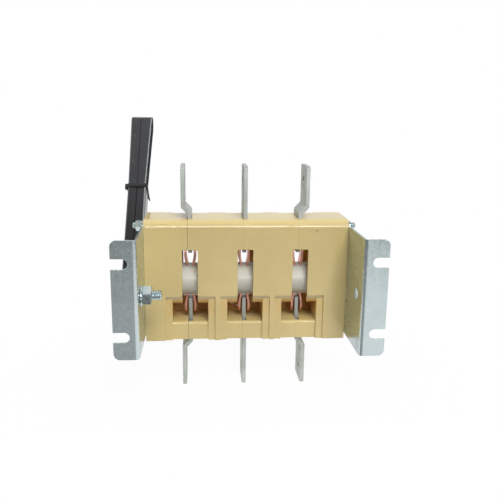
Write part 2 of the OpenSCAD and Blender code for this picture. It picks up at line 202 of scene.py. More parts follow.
class Finish:
    """A material in the making, on Object coordinates."""

    def __init__(self, name):
        self.material = bpy.data.materials.new(name)
        self.material.use_nodes = True
        tree = self.material.node_tree
        tree.nodes.clear()
        self.root = Signal(tree)
        self.place = self.root.node("ShaderNodeTexCoord", {}, {}, "Object")
        self.x, self.y, self.z = self.place.axes()

    def stretched(self, scale):
        """Object coordinates scaled by axis, for streaks."""
        return self.root.node("ShaderNodeMapping", {}, {"Vector": self.place, "Scale": scale})

    def noise(self, scale, detail=3.0, roughness=0.55, where=None):
        """Noise of about 0.5 on average, with cells of one over scale metres."""
        sockets = {"Vector": where or self.place, "Scale": scale, "Detail": detail, "Roughness": roughness}
        return self.root.node("ShaderNodeTexNoise", {}, sockets, "Fac")

    def streaks(self, scale, detail=3.0, roughness=0.55):
        """Noise with a scale of its own along each axis."""
        return self.noise(1.0, detail, roughness, self.stretched(scale))

    def cells(self, scale, output="Distance"):
        """Voronoi cells, one over scale metres wide."""
        return self.root.node("ShaderNodeTexVoronoi", {}, {"Vector": self.place, "Scale": scale}, output)

    def near(self, point, radii):
        """1 at a point, falling to 0 on the ellipsoid with the given radii round it."""
        offset = self.root.node("ShaderNodeVectorMath", {"operation": "SUBTRACT"}, {0: self.place, 1: point})
        scaled = self.root.node("ShaderNodeVectorMath", {"operation": "DIVIDE"}, {0: offset, 1: radii})
        length = self.root.node("ShaderNodeVectorMath", {"operation": "LENGTH"}, {0: scaled}, "Value")
        return 1.0 - length.step(0.0, 1.0)

    def surface(self, shader):
        """Ends the tree with that shader."""
        self.root.node("ShaderNodeOutputMaterial", {}, {"Surface": shader})
        return self.material

    def shader(self, colour, roughness, height=None, depth=0.0, strength=1.0, **constants):
        """Principled shader: colour, roughness and relief vary, the constants are set on its own sockets."""
        sockets = {"Base Color": colour, "Roughness": roughness}
        if height is not None:
            sockets["Normal"] = self.root.node("ShaderNodeBump", {},
                                               {"Height": height, "Distance": depth, "Strength": strength})
        sockets.update({key.replace("_", " "): value for key, value in constants.items()})
        return self.root.node("ShaderNodeBsdfPrincipled", {}, sockets)

    def close(self, *looks, **constants):
        """Ends the tree with one Principled shader."""
        return self.surface(self.shader(*looks, **constants))


def shade(colour, factor=1.0, warmth=0.0):
    """A linear colour with full alpha, made darker or lighter, and warmer by a share of its blue."""
    red, green, blue = (min(1.0, channel * factor) for channel in colour)
    return red, green, blue * (1.0 - warmth), 1.0


# Surfaces


def cells_of(rows, columns, wrap_rows, wrap_columns):
    """Four corner indices of each cell of a grid, the last row or column joining the first where it wraps."""
    index = np.arange(rows * columns).reshape(rows, columns)
    if wrap_rows:
        index = np.vstack([index, index[:1]])
    if wrap_columns:
        index = np.hstack([index, index[:, :1]])
    corners = index[:-1, :-1], index[1:, :-1], index[1:, 1:], index[:-1, 1:]
    return np.stack(corners, axis=-1).reshape(-1, 4)


def grid_piece(name, points, material, wrap_rows=False, wrap_columns=True, capped=False, sharp_deg=35.0):
    """Object over a grid of points, rows by columns by 3, smooth, with flat ends where it is capped."""
    rows, columns = points.shape[:2]
    faces = cells_of(rows, columns, wrap_rows, wrap_columns).tolist()
    if capped:
        faces += [list(range(columns)), list(range((rows - 1) * columns, rows * columns))]
    mesh = bpy.data.meshes.new(name)
    mesh.from_pydata(points.reshape(-1, 3), [], faces)
    return mesh_piece(name, mesh, material, sharp_deg)


def mesh_piece(name, mesh, material, sharp_deg=35.0):
    """Object with outward faces, smooth except over edges sharper than the given angle."""
    shell = bmesh.new()
    shell.from_mesh(mesh)
    bmesh.ops.remove_doubles(shell, verts=shell.verts[:], dist=POINT_GAP)
    bmesh.ops.recalc_face_normals(shell, faces=shell.faces[:])
    shell.to_mesh(mesh)
    shell.free()
    mesh.polygons.foreach_set("use_smooth", np.ones(len(mesh.polygons), dtype=bool))
    mesh.set_sharp_from_angle(angle=math.radians(sharp_deg))
    mesh.materials.clear()
    mesh.materials.append(material)
    piece = bpy.data.objects.new(name, mesh)
    bpy.context.scene.collection.objects.link(piece)
    return piece


def seat(piece, body, slot, *nodes):
    """Puts a finished piece on its body, in place of the nodes that it stands for, which are hidden. The slot
    is not used.
    """
    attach(piece, body)
    if nodes:
        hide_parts(*nodes)


def dress(nodes, look, material, body, slot, *rounding):
    """Seats an eased copy of each node, with the look's rounding, in its place."""
    for node in nodes:
        seat(eased(node, look.edge, material, *rounding), body, slot, node)


def eased(node, width, material, segments=2, angle_deg=40.0, cuts=()):
    """Copy of a solid with its sharp edges rounded, flat faces being joined first.

    Cuts across X part long curved faces from the rounded edges at their ends, so that the faces stay smooth.
    """
    name = f"{node}_eased"
    mesh = bpy.data.meshes.new(name)
    shell = bmesh.new()
    shell.from_mesh(NODES[node].data)
    bmesh.ops.remove_doubles(shell, verts=shell.verts[:], dist=MERGE_GAP)
    bmesh.ops.dissolve_limit(shell, angle_limit=math.radians(FLAT_DEG), verts=shell.verts[:],
                             edges=shell.edges[:])
    for x in cuts:
        everything = shell.verts[:] + shell.edges[:] + shell.faces[:]
        bmesh.ops.bisect_plane(shell, geom=everything, plane_co=(x, 0, 0), plane_no=(1, 0, 0))
    shell.to_mesh(mesh)
    shell.free()
    piece = mesh_piece(name, mesh, material)
    if cuts:
        sharpen_flats(mesh)
    bevel = piece.modifiers.new("Eased edges", "BEVEL")
    bevel.width = width
    bevel.segments = segments
    bevel.limit_method = "ANGLE"
    bevel.angle_limit = math.radians(angle_deg)
    bevel.harden_normals = True
    return piece


def sharpen_flats(mesh):
    """Marks the edges round every large face sharp, so that flat faces stay flat beside curved ones."""
    shell = bmesh.new()
    shell.from_mesh(mesh)
    for face in shell.faces:
        if face.calc_area() > LARGE_FACE:
            for edge in face.edges:
                edge.smooth = False
    shell.to_mesh(mesh)
    shell.free()


def inside_ends(node, margin):
    """Places along X a margin inside the two ends of a node's box, or outside them for a margin below 0."""
    low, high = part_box(node)
    return low.x + margin, high.x - margin


def angles(columns):
    """Even angles round a full turn."""
    return np.linspace(0, TURN, columns, endpoint=False)


def around_x(x, radius, y, z):
    """Points at the given radii, rows by columns, round the line (y, z) along X, from the top round."""
    angle = angles(radius.shape[1])
    along = np.broadcast_to(np.asarray(x)[:, None], radius.shape)
    return np.stack([along, y + radius * np.sin(angle), z + radius * np.cos(angle)], axis=-1)


def hexagon(columns, across_flats, twist, crispness=70):
    """Radius by angle of a hexagon with softened corners, one flat lying at the given twist from the top.

    Each flat bounds the radius by half the width over the cosine of the angle to it; a power mean blends
    the bounds.
    """
    flats = np.radians(np.arange(0, 360, 60))
    reach = np.clip(np.cos(angles(columns)[:, None] - twist - flats), 0, None)
    return across_flats / 2 * (reach ** crispness).sum(axis=1) ** (-1 / crispness)


def chamfered(x0, x1, across_flats, twist=0.0, columns=120):
    """Stations and radii of a hexagon from x0 to x1: the hexagon or a cone from each end, the lesser."""
    cone_length, end_radius, cone_slope = 0.075 * across_flats, 0.475 * across_flats, math.radians(30)
    rise = np.linspace(0, cone_length, 10)
    x = np.concatenate([x0 + rise, x1 - rise[::-1]])
    cone = end_radius + np.minimum(x - x0, x1 - x) / math.tan(cone_slope)
    return x, np.minimum(hexagon(columns, across_flats, twist), cone[:, None])


def thread(x, start, end, radius, pitch, length, columns=48):
    """Radii of a rod from start to end, threaded over a length at each end.

    A V with a rounded crest dips once per pitch along X, shifted by a pitch per turn; it fades out at the
    thread's inner end, and a chamfer narrows the rod at both ends.
    """
    depth = 0.6 * pitch
    crest_rounding = 1.3
    end_radius = radius - 1.3 * depth
    from_end = np.minimum(x - start, end - x)[:, None]
    phase = x[:, None] / pitch - angles(columns) / TURN
    dip = np.abs(2 * (phase - np.floor(phase)) - 1) ** crest_rounding
    fade = np.clip((length - from_end) / pitch, 0, 1)
    return np.minimum(radius - depth * dip * fade, end_radius + from_end)


def centre_of(node):
    """Middle of a node's box across X."""
    low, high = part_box(node)
    return (low.y + high.y) / 2, (low.z + high.z) / 2


def ring(x, radius, bore):
    """Adds a plain bore to stations and radii, so that the rows close into a ring."""
    inner = np.full((2, radius.shape[1]), bore)
    return np.concatenate([x, [x[-1], x[0]]]), np.vstack([radius, inner])


def handle_points(x, across, along, lean):
    """Points from X and two distances in the handle's plane: across it, and along it from the shaft axis."""
    y = PIVOT.y + across * math.cos(lean) + along * math.sin(lean)
    z = PIVOT.z - across * math.sin(lean) + along * math.cos(lean)
    return np.stack(np.broadcast_arrays(x, y, z), axis=-1)


def strap_section(width, thickness, columns=20, exponent=0.35):
    """Closed outline of a flat strap, as offsets along its normal and its width: a superellipse."""
    angle = angles(columns)
    outline = [np.sign(f) * np.abs(f) ** exponent for f in (np.cos(angle), np.sin(angle))]
    return thickness / 2 * outline[0], width / 2 * outline[1]


# Finishes


def chamber_shade_mask(finish):
    """Share of the chambers' painted shade and matt skin: walls behind the outer faces, and the deep part of
    the floors.
    """
    low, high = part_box(MOULDINGS[0])
    half_depth = (high.y - low.y) / 2
    skin, skin_end = 1.5 * MM, 4 * MM
    wall_full, wall_end = 30 * MM, 36 * MM
    floor_full, floor_end = 38.5 * MM, 42 * MM
    near_floor, deep_floor = 20 * MM, 36 * MM
    behind = abs(finish.y - (low.y + high.y) / 2).step(half_depth - skin, half_depth - skin_end)
    height = abs(finish.z - PIVOT.z)
    floor = height.step(floor_end, floor_full) * finish.y.step(low.y + near_floor, low.y + deep_floor)
    shade_and_matt_share = 0.88
    return behind * (height.step(wall_end, wall_full) | floor) * shade_and_matt_share


def moulding_finish(look):
    """Glossy thermoset: slow warm mottle, flow grain, specks, dark joints and one burnt speck.

    The burnt speck is near the upper edge. The skin inside the chambers is matt, and browner in painted shade.
    """
    finish = Finish("Cream moulding")
    colour = tuple(look.colour)
    mottle = finish.noise(22.0, 4.0)
    grain = finish.noise(700.0, 2.0)
    tone = mottle.step(0.3, 0.72).tint(shade(colour, 0.95), shade(colour, 1.04))
    inside = chamber_shade_mask(finish)
    red, green, blue = colour
    # Painted shade: the chamber walls and deep floors are tinted browner.
    tone = inside.tint(tone, (1.15 * red, 0.78 * green, 0.46 * blue, 1.0))
    joint_strengths = 0.9, 0.3, 0.25
    joint = None
    for node, strength in zip(MOULDINGS[1:], joint_strengths):
        line = (1.0 - abs(finish.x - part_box(node)[0].x).step(0.4 * look.seam, look.seam)) * strength
        joint = line if joint is None else joint | line
    tone = joint.tint(tone, shade(colour, 0.1))
    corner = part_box(MOULDINGS[3])[1]
    speck_place = corner.x - 31.5 * MM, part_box(MOULDINGS[0])[0].y, corner.z - 10.5 * MM
    speck_size = 2.6 * MM, 2 * MM, 0.7 * MM
    speck = finish.near(speck_place, speck_size)
    dirt = finish.cells(210.0).step(0.05, 0.02) * finish.noise(30.0).step(0.55, 0.7)
    tone = (speck.step(0.1, 0.6) * 0.85 | dirt * 0.5).tint(tone, shade(colour, 0.16))
    relief = grain - joint * 3.0, 0.00003, 0.25
    glossy = finish.shader(tone, 0.34 + 0.12 * finish.noise(60.0), *relief, Coat_Weight=look.gloss,
                           Coat_Roughness=0.05, Coat_IOR=1.75)
    matt = finish.shader(tone, 0.8, *relief, Specular_IOR_Level=0.1)
    return finish.surface(inside.blend(glossy, matt))


def galvanised_finish(look):
    """Zinc-dipped sheet: faint spangles, upright rolling streaks, scratches, grey clouds, and plates darker in
    painted shade.
    """
    finish = Finish("Galvanised sheet")
    colour = tuple(look.colour)
    patch = finish.cells(420.0, "Color").axes()[0]
    streak = finish.streaks((900.0, 900.0, 22.0))
    cloud = finish.noise(38.0, 4.0)
    level = patch * 0.2 + streak * 0.45 + cloud * 0.35
    tone = level.step(0.25, 0.75).tint(shade(colour, 0.86), shade(colour, 1.08))
    scratch = finish.streaks((1600.0, 1600.0, 12.0), 2.0).step(0.66, 0.74)
    tone = (scratch * 0.35).tint(tone, shade(colour, 1.35))
    # Painted shade: the plates are darker than the flanges.
    flange_end, plate_start = 3 * MM, 7 * MM
    tone = finish.y.step(flange_end, plate_start).tint(tone, shade(colour, 0.74))
    rough = 0.17 + 0.1 * streak + 0.05 * patch
    return finish.close(tone, rough, streak + patch * 0.3, 0.00002, 0.25, Metallic=1.0)


def zinc_finish(look):
    """Bright plated fasteners, faintly blue with yellow patches."""
    finish = Finish("Bright zinc")
    colour = tuple(look.colour)
    tone = finish.noise(180.0, 2.0).step(0.4, 0.75).tint(shade(colour), shade(colour, 0.95, 0.14))
    rough = 0.17 + 0.16 * finish.noise(500.0)
    return finish.close(tone, rough, finish.noise(900.0), 0.00002, 0.3, Metallic=1.0)


def plated_finish(look):
    """Duller plated steel of the lever and the spindle."""
    finish = Finish("Dull plated steel")
    colour = tuple(look.steel)
    cloud = finish.noise(90.0, 4.0)
    tone = cloud.step(0.3, 0.75).tint(shade(colour, 0.8), shade(colour, 1.1))
    return finish.close(tone, 0.35 + 0.25 * cloud, finish.noise(1200.0), 0.00003, 0.3, Metallic=1.0)


def tinned_finish(look):
    """Dull tinned strip: wiped tin in clouds, fine scratches along the strip, brighter rubbed patches."""
    finish = Finish("Dull tin")
    colour = tuple(look.colour)
    cloud = finish.noise(75.0, 4.0)
    wipe = finish.streaks((900.0, 500.0, 60.0))
    tone = (cloud * 0.6 + wipe * 0.4).step(0.3, 0.7).tint(shade(colour, 0.85), shade(colour, 1.1))
    rough = 0.42 + 0.2 * wipe + 0.1 * cloud
    return finish.close(tone, rough, wipe + cloud, 0.00005, 0.4, Metallic=0.7)


def copper_finish(look):
    """Bare copper: bright rubbed strip with browner clouds."""
    finish = Finish("Bare copper")
    colour = tuple(look.colour)
    cloud = finish.noise(160.0, 4.0)
    red, green, blue = colour
    tone = cloud.step(0.42, 0.8).tint(shade(colour), (0.6 * red, 0.5 * green, 0.45 * blue, 1.0))
    return finish.close(tone, 0.22 + 0.2 * cloud, finish.noise(1500.0), 0.00003, 0.3, Metallic=1.0)


def shaft_finish(look):
    """Warm white insulating moulding with faint lines round the shaft."""
    finish = Finish("Shaft moulding")
    colour = tuple(look.colour)
    lines = finish.streaks((900.0, 40.0, 40.0))
    cloud = finish.noise(60.0)
    tone = (lines * 0.4 + cloud * 0.6).step(0.3, 0.7).tint(shade(colour, 0.94), shade(colour, 1.04))
    return finish.close(tone, 0.27 + 0.12 * lines, lines, 0.00004, 0.3)


def grip_finish(look):
    """Satin black plastic: fine grain, streaks along the handle, scuffs, and painted highlights along the near
    face's edges.

    It is darker towards the base in painted shade, and matt on the right side and at the end.
    """
    finish = Finish("Black grip")
    colour = tuple(look.colour)
    grain = finish.noise(1400.0, 2.0)
    cloud = finish.noise(50.0, 4.0)
    rub = finish.streaks((420.0, 90.0, 90.0), 4.0, 0.65).step(0.58, 0.72)
    tone = cloud.step(0.3, 0.75).tint(shade(colour, 0.8), shade(colour, 1.25))
    tone = (rub * 0.3).tint(tone, shade(colour, 3.0))
    # Painted shade: the grip is darker towards its base.
    base_top, base_full = 100 * MM, 45 * MM
    base = finish.z.step(base_top, base_full)
    tone = (base * 0.9).tint(tone, shade(colour, 0.25))
    middle = sum(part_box(node)[0].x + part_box(node)[1].x for node in GRIP_HALVES) / 4
    half_width = look.width / 2
    scuff_x, scuff_width = middle - 6.5 * MM, 2.2 * MM
    scuff = None
    for along, size in ((147 * MM, 5 * MM), (205 * MM, 3.5 * MM), (185 * MM, 2.5 * MM)):
        place = handle_points(scuff_x, -half_width, along, look.lean).tolist()
        spot = finish.near(place, (scuff_width, size, size))
        scuff = spot if scuff is None else scuff | spot
    scuff = scuff * finish.noise(900.0, 4.0, 0.7).step(0.45, 0.65)
    # Pale grey of the dust in the scuffs, and grey of the painted edge highlights.
    pale_dust, edge_highlight_grey = (0.3, 0.28, 0.25, 1.0), (0.36, 0.38, 0.4, 1.0)
    tone = (scuff * 0.55).tint(tone, pale_dust)
    from_y, from_z = finish.y - PIVOT.y, finish.z - PIVOT.z
    along = from_y * math.sin(look.lean) + from_z * math.cos(look.lean)
    across = from_y * math.cos(look.lean) - from_z * math.sin(look.lean)
    near_face = across.step(1.0 * MM - half_width, 0.3 * MM - half_width)
    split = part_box(GRIP_HALVES[0])[0].x
    widening = (along - look.taper | 0.0) * (1 / (look.reach - look.taper))
    half = look.thickness / 2
    right = (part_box(GRIP_HALVES[0])[1].x - split - half) * widening + half
    left = (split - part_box(GRIP_HALVES[1])[0].x - half) * widening + half
    from_right, from_left = split + right - finish.x, finish.x - split + left
    # Painted highlight: lighter grey along the near face's edges, stronger at the right edge than at the left.
    edge_highlight = from_right.step(1.6 * MM, 1.1 * MM) * 0.7 | from_left.step(1.4 * MM, 0.9 * MM) * 0.25
    tone = (edge_highlight * near_face).tint(tone, edge_highlight_grey)
    relief = grain, 0.00005, 0.3
    satin = finish.shader(tone, 0.36 + 0.15 * cloud + 0.15 * rub, *relief)
    matt = finish.shader(tone, 0.8, *relief, Specular_IOR_Level=0.05)
    dull = from_right.step(0.5 * MM, 0.2 * MM) | along.step(look.reach - 3.5 * MM, look.reach - 2.5 * MM)
    return finish.surface(dull.blend(satin, matt))


def tie_finish(look):
    """Black nylon strap, slightly shiny."""
    finish = Finish("Black nylon")
    colour = tuple(look.colour)
    cloud = finish.noise(200.0, 3.0)
    tone = cloud.step(0.3, 0.75).tint(shade(colour, 0.8), shade(colour, 1.4))
    return finish.close(tone, 0.35 + 0.2 * cloud, finish.noise(1800.0), 0.00003, 0.3)


# Sizes and colours that a user would change


def colour_of(description, default):
    """Property for a linear colour."""
    return FloatVectorProperty(name="Colour", description=description, subtype="COLOR", default=default)


def length_of(name, description, millimetres):
    """Property for a length."""
    return FloatProperty(name=name, description=description, unit="LENGTH", default=millimetres * MM)


class HousingLook(bpy.types.PropertyGroup):
    """Look of the mouldings."""

    colour: colour_of("Linear colour of the mouldings", (0.64, 0.50, 0.21))
    gloss: FloatProperty(name="Gloss", description="Weight of the glossy skin", default=0.6)
    seam: length_of("Joint", "Half the width of the joint between two mouldings", 0.25)
    edge: length_of("Edge", "Rounding of the mouldings' edges", 0.8)
    wall: length_of("Wall", "Thickness of the front wall", 5.0)
    chamber: length_of("Chamber", "Width of each contact chamber", 36.0)
    slot: length_of("Slot", "Width of the slots for the blades", 15.5)
    slot_end: length_of("Slot end", "Depth of the front slots' closed ends under the shaft axis", 25.0)
    slot_cut: length_of("Slot cut", "Depth of the cut of the solids' front slots under the shaft axis", 35.6)
    lip: length_of("Lip", "Thickness of the lips beside the front slots", 2.9)
    lip_start: length_of("Lip start", "Height of the lips' lower edges above the shaft axis", 18.5)
    lip_end: length_of("Lip end", "Height of the lips' upper edges above the shaft axis", 26.5)


class BracketLook(bpy.types.PropertyGroup):
    """Look of the angle brackets."""

    colour: colour_of("Linear colour of the galvanised sheet", (0.70, 0.795, 0.805))
    edge: length_of("Edge", "Rounding of the sheet's edges", 0.3)


class TerminalLook(bpy.types.PropertyGroup):
    """Look of the terminal strips."""

    colour: colour_of("Linear colour of the tinned strip", (0.52, 0.55, 0.515))
    edge: length_of("Edge", "Rounding of the strip's edges", 0.5)


class BladeLook(bpy.types.PropertyGroup):
    """Look of the contact blades."""

    colour: colour_of("Linear colour of the bare copper", (0.80, 0.40, 0.29))
    edge: length_of("Edge", "Rounding of the blades' edges", 0.8)


class ShaftLook(bpy.types.PropertyGroup):
    """Look of the insulating shaft, and of the spindle and the lever on its end."""

    colour: colour_of("Linear colour of the insulating shaft", (0.585, 0.58, 0.505))
    steel: FloatVectorProperty(name="Steel", description="Linear colour of the spindle and the lever",
                               subtype="COLOR", default=(0.48, 0.49, 0.46))
    edge: length_of("Edge", "Rounding of the edges", 0.3)


class FastenerLook(bpy.types.PropertyGroup):
    """Look of the tie rods, the earth bolt and their nuts."""

    colour: colour_of("Linear colour of the bright zinc", (0.68, 0.77, 0.81))
    rod_d: length_of("Rod", "Thread diameter of the tie rods", 6.0)
    rod_pitch: length_of("Rod pitch", "Thread pitch of the tie rods", 1.0)
    rod_thread: length_of("Rod thread", "Length of thread on each end of the tie rods", 14.0)
    bolt_d: length_of("Bolt", "Thread diameter of the earth bolt", 9.8)
    bolt_pitch: length_of("Bolt pitch", "Thread pitch of the earth bolt", 1.5)
    sheet: length_of("Sheet", "Thickness of the sheet between the earth bolt's head and its washer", 2.0)
    nut_twist: FloatProperty(name="Nut twist", description="Turn of the earth nut from a level flat",
                             unit="ROTATION", default=math.radians(22))


class GripLook(bpy.types.PropertyGroup):
    """Look of the two grip halves."""

    colour: colour_of("Linear colour of the black plastic", (0.024, 0.025, 0.028))
    lean: FloatProperty(name="Lean", description="Lean of the handle from upright", unit="ROTATION",
                        default=math.radians(45))
    edge: length_of("Edge", "Rounding of the grip's edges", 1.0)
    width: length_of("Width", "Width of the grip", 22.0)
    thickness: length_of("Thickness", "Thickness of the grip where it is even", 19.2)
    taper: length_of("Taper", "Distance from the shaft axis at which the grip starts to widen", 115.0)
    reach: length_of("Reach", "Distance from the shaft axis to the grip's end", 221.0)


class TieLook(bpy.types.PropertyGroup):
    """Size and look of the cable tie."""

    colour: colour_of("Linear colour of the black nylon", (0.012, 0.012, 0.013))
    place: length_of("Place", "Distance from the shaft axis", 112.0)
    width: length_of("Width", "Width of the strap", 4.6)
    thickness: length_of("Thickness", "Thickness of the strap", 1.3)
    head: length_of("Head", "Thickness of the head", 3.5)
    grip: length_of("Grip", "Width of the grip that it goes round", 22.1)


class StageSettings(bpy.types.PropertyGroup):
    """Floor, light and surroundings."""

    floor_gap: length_of("Floor gap", "Distance from the lowest point to the floor", 0.5)
    shadow: FloatProperty(name="Shadow", description="Share of the floor's own shading under the object",
                          default=0.04)
    sky: FloatProperty(name="Sky", description="Strength of the light from all round", default=0.2)
    back: FloatProperty(name="Back", description="Strength of the light from behind", default=0.55)
    key: FloatProperty(name="Key", description="Power of the lamp at the front", unit="POWER", default=18.0)
    top: FloatProperty(name="Top", description="Power of the lamp overhead", unit="POWER", default=2.8)
    strip: FloatProperty(name="Strip", description="Power of the strip lamp, which only reflections show",
                         unit="POWER", default=11.0)


# Operators


class SWITCH_OT_housing(bpy.types.Operator):
    """Rounds and finishes the four cream mouldings, and closes parts of their front wall."""

    bl_idname = "switch_looks.housing"
    bl_label = "Housing"

    def execute(self, context):
        look = context.scene.switch_housing
        material = moulding_finish(look)
        middles = {pole: self.middle_of(pole) for pole in POLES}
        ease = 2 * look.edge
        walls = [middle + side * (look.chamber / 2 - ease) for middle in middles.values() for side in (-1, 1)]
        for node in MOULDINGS:
            cuts = [*inside_ends(node, ease), *walls]
            seat(eased(node, look.edge, material, cuts=cuts), FRAME_BODY, "moulding", node)
        for pole, middle in middles.items():
            self.close_front(pole, middle, look, material)
        return {"FINISHED"}

    def middle_of(self, pole):
        """Place along X of the middle between a pole's two blades."""
        return (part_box(f"{pole}_pole_left_blade")[0].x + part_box(f"{pole}_pole_right_blade")[1].x) / 2

    def close_front(self, pole, middle, look, material):
        """Seats a web in the lower end of a pole's front slot, and a lip on each side of the slot's upper part.

        Each is a rectangle on the front wall's inner plane, a little proud of it, drawn along Z.
        """
        proud = 0.1 * MM
        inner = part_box(MOULDINGS[0])[1].y - look.wall - proud
        slot, chamber = look.slot / 2, look.chamber / 2
        lip = look.lip, look.lip_start, look.lip_end
        walls = {"web": (-slot, slot, look.wall, -look.slot_cut, -look.slot_end),
                 "left_lip": (-chamber, -slot, *lip),
                 "right_lip": (slot, chamber, *lip)}
        for wall, (left, right, thickness, bottom, top) in walls.items():
            x = middle + np.array([left, right, right, left])
            y = inner + thickness * np.array([0, 0, 1, 1])
            z = PIVOT.z + np.array([bottom, top])
            points = np.stack(np.broadcast_arrays(x, y, z[:, None]), axis=-1)
            piece = grid_piece(f"{pole}_pole_front_{wall}", points, material, capped=True)
            seat(piece, FRAME_BODY, "moulding")


class SWITCH_OT_brackets(bpy.types.Operator):
    """Finishes the two angle brackets in galvanised sheet."""

    bl_idname = "switch_looks.brackets"
    bl_label = "Brackets"

    def execute(self, context):
        look = context.scene.switch_brackets
        dress(BRACKETS, look, galvanised_finish(look), FRAME_BODY, "galvanised_sheet")
        return {"FINISHED"}


class SWITCH_OT_terminals(bpy.types.Operator):
    """Finishes the six terminal strips in dull tin."""

    bl_idname = "switch_looks.terminals"
    bl_label = "Terminals"

    def execute(self, context):
        look = context.scene.switch_terminals
        dress(TERMINALS, look, tinned_finish(look), FRAME_BODY, "tinned_terminal")
        return {"FINISHED"}


class SWITCH_OT_blades(bpy.types.Operator):
    """Finishes the six contact blades in bare copper with well rounded edges."""

    bl_idname = "switch_looks.blades"
    bl_label = "Blades"

    def execute(self, context):
        look = context.scene.switch_blades
        segments = 3
        dress(BLADES, look, copper_finish(look), ROTOR_BODY, "copper", segments)
        return {"FINISHED"}


class SWITCH_OT_shaft(bpy.types.Operator):
    """Finishes the insulating shaft, the spindle and the lever."""

    bl_idname = "switch_looks.shaft"
    bl_label = "Shaft and lever"

    def execute(self, context):
        look = context.scene.switch_shaft
        ease = 2 * look.edge
        beside_blades = [x for blade in BLADES for x in inside_ends(blade, -ease)]
        cuts = [*inside_ends("shaft", ease), *beside_blades]
        seat(eased("shaft", look.edge, shaft_finish(look), cuts=cuts), ROTOR_BODY, "shaft", "shaft")
        dress(("spindle", "lever"), look, plated_finish(look), ROTOR_BODY, "lever_steel")
        return {"FINISHED"}


class SWITCH_OT_fasteners(bpy.types.Operator):
    """Makes the threaded tie rods and earth bolt, the chamfered nuts and the washer."""

    bl_idname = "switch_looks.fasteners"
    bl_label = "Fasteners"

    def execute(self, context):
        look = context.scene.switch_fasteners
        material = zinc_finish(look)
        bore_share = 0.4
        pieces = [self.make_rod(node, look, material) for node in RODS]
        pieces += [self.make_nut(node, 0.0, bore_share * look.rod_d, material) for node in ROD_NUTS]
        pieces += [self.make_nut("earth_nut", look.nut_twist, bore_share * look.bolt_d, material)]
        pieces += [self.make_washer(look.bolt_d, material), self.make_bolt(look, material)]
        for piece, node in pieces:
            seat(piece, FRAME_BODY, "zinc_fastener", node)
        seat(self.make_head(look, material), FRAME_BODY, "zinc_fastener")
        return {"FINISHED"}

    def make_rod(self, node, look, material):
        """Rod threaded at both ends and plain between."""
        low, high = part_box(node)
        rows = np.arange(0, look.rod_thread, look.rod_pitch / 10)
        x = np.concatenate([low.x + rows, high.x - rows[::-1]])
        full_thread = look.rod_thread - look.rod_pitch
        radius = thread(x, low.x, high.x, look.rod_d / 2, look.rod_pitch, full_thread)
        points = around_x(x, radius, *centre_of(node))
        return grid_piece(f"{node}_threaded", points, material, capped=True), node

    def make_nut(self, node, twist, bore, material):
        """Hexagon nut chamfered at both faces, with a plain bore inside the thread."""
        low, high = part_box(node)
        x, radius = ring(*chamfered(low.x, high.x, high.z - low.z, twist), bore)
        points = around_x(x, radius, *centre_of(node))
        nut = grid_piece(f"{node}_chamfered", points, material, wrap_rows=True, sharp_deg=NUT_SHARP_DEG)
        return nut, node

    def make_washer(self, bolt_d, material):
        """Flat ring with a half-round rim."""
        low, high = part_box("earth_washer")
        turn = np.linspace(0, math.pi, 9)
        thickness, columns = high.x - low.x, 64
        rim, bore = 0.35 * thickness, 0.52 * bolt_d
        x = (low.x + high.x) / 2 - thickness / 2 * np.cos(turn)
        outline = (high.z - low.z) / 2 - rim * (1 - np.sin(turn))
        x, radius = ring(x, np.repeat(outline[:, None], columns, axis=1), bore)
        points = around_x(x, radius, *centre_of("earth_washer"))
        return grid_piece("earth_washer_round", points, material, wrap_rows=True), "earth_washer"

    def make_bolt(self, look, material):
        """Threaded shank of the earth bolt, from its head to its free end."""
        start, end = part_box("earth_washer")[0].x - look.sheet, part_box("earth_bolt")[1].x
        x = np.arange(start, end, look.bolt_pitch / 10)
        radius = thread(x, start, x[-1], look.bolt_d / 2, look.bolt_pitch, end - start)
        points = around_x(x, radius, *centre_of("earth_bolt"))
        return grid_piece("earth_bolt_threaded", points, material, capped=True), "earth_bolt"

    def make_head(self, look, material):
        """Hexagon head of the earth bolt, outside the bracket."""
        low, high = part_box("earth_bolt")
        x, radius = chamfered(low.x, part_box("earth_washer")[0].x - look.sheet, high.z - low.z)
        points = around_x(x, radius, *centre_of("earth_bolt"))
        return grid_piece("earth_bolt_head", points, material, capped=True, sharp_deg=NUT_SHARP_DEG)


class SWITCH_OT_grip(bpy.types.Operator):
    """Rounds the edges of the two grip halves and gives them their worn black finish."""

    bl_idname = "switch_looks.grip"
    bl_label = "Grip"

    def execute(self, context):
        look = context.scene.switch_grip
        segments, least_angle_deg = 3, 50.0
        dress(GRIP_HALVES, look, grip_finish(look), ROTOR_BODY, "grip", segments, least_angle_deg)
        return {"FINISHED"}


